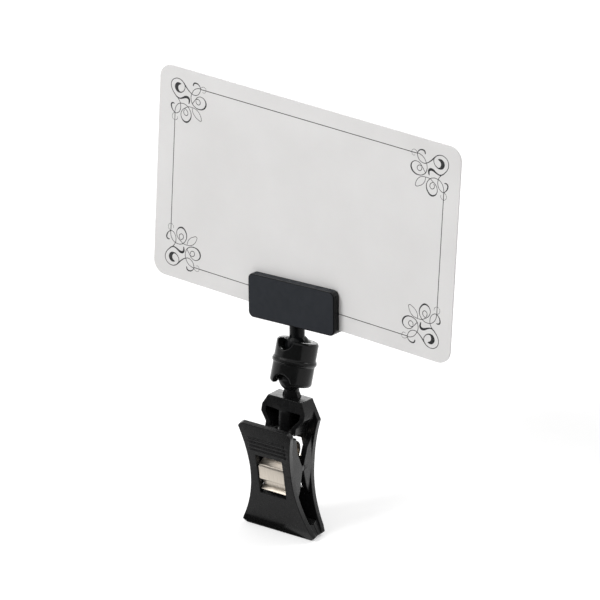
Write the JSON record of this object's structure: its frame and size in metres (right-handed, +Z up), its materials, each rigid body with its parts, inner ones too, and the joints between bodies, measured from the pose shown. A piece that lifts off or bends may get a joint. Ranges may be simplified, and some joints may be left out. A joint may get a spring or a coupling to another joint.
{
  "type": "place card holder",
  "caption": "Clip-on place card holder: a sprung clamp carries a ball-jointed coupler and a slotted gripper that holds a printed name card up at an angle.",
  "frame": {"origin": "middle of the line where the closed jaw lips meet", "axes": "+X along the jaw lips, -Y towards the front jaw and the card's printed face, +Z up from the lips to the card"},
  "size_m": [0.0913, 0.025, 0.1097],
  "materials": {
    "jaw_plastic": "satin black moulded plastic",
    "spring_steel": "nickel plated spring strip",
    "coupler_plastic": "satin black moulded plastic",
    "gripper_plastic": "fine matt charcoal moulded plastic",
    "card_stock": "pale grey uncoated card with a printed border"
  },
  "bodies": {
    "clamp": {"rear_jaw": "jaw_plastic", "jaw_spring": "spring_steel"},
    "front_jaw": {"front_jaw": "jaw_plastic"},
    "coupler": {"coupler": "coupler_plastic"},
    "gripper": {"card_gripper": "gripper_plastic"},
    "card": {"card": "card_stock"}
  },
  "joints": [
    {"name": "jaw_hinge", "type": "hinge", "parent": "clamp", "child": "front_jaw", "pos_m": [0, 0, 0.01692], "axis": [-1, 0, 0], "range_deg": [0, 20], "stiffness_Nm_per_rad": 0.19, "springref_deg": -28.65, "deforming": ["jaw_spring"]},
    {"name": "coupler_swivel", "type": "hinge", "parent": "clamp", "child": "coupler", "pos_m": [0, 0.00488, 0.03822], "axis": [0, 0, 1], "continuous": true},
    {"name": "gripper_nod", "type": "hinge", "parent": "coupler", "child": "gripper", "pos_m": [0, 0.00774, 0.04568], "axis": [0.9787, -0.1919, 0.0737], "range_deg": [-40, 56]},
    {"name": "card_slide", "type": "slide", "parent": "gripper", "child": "card", "axis": [-0.0548, 0.1017, 0.9933], "range_m": [0, 0.012]}
  ]
}
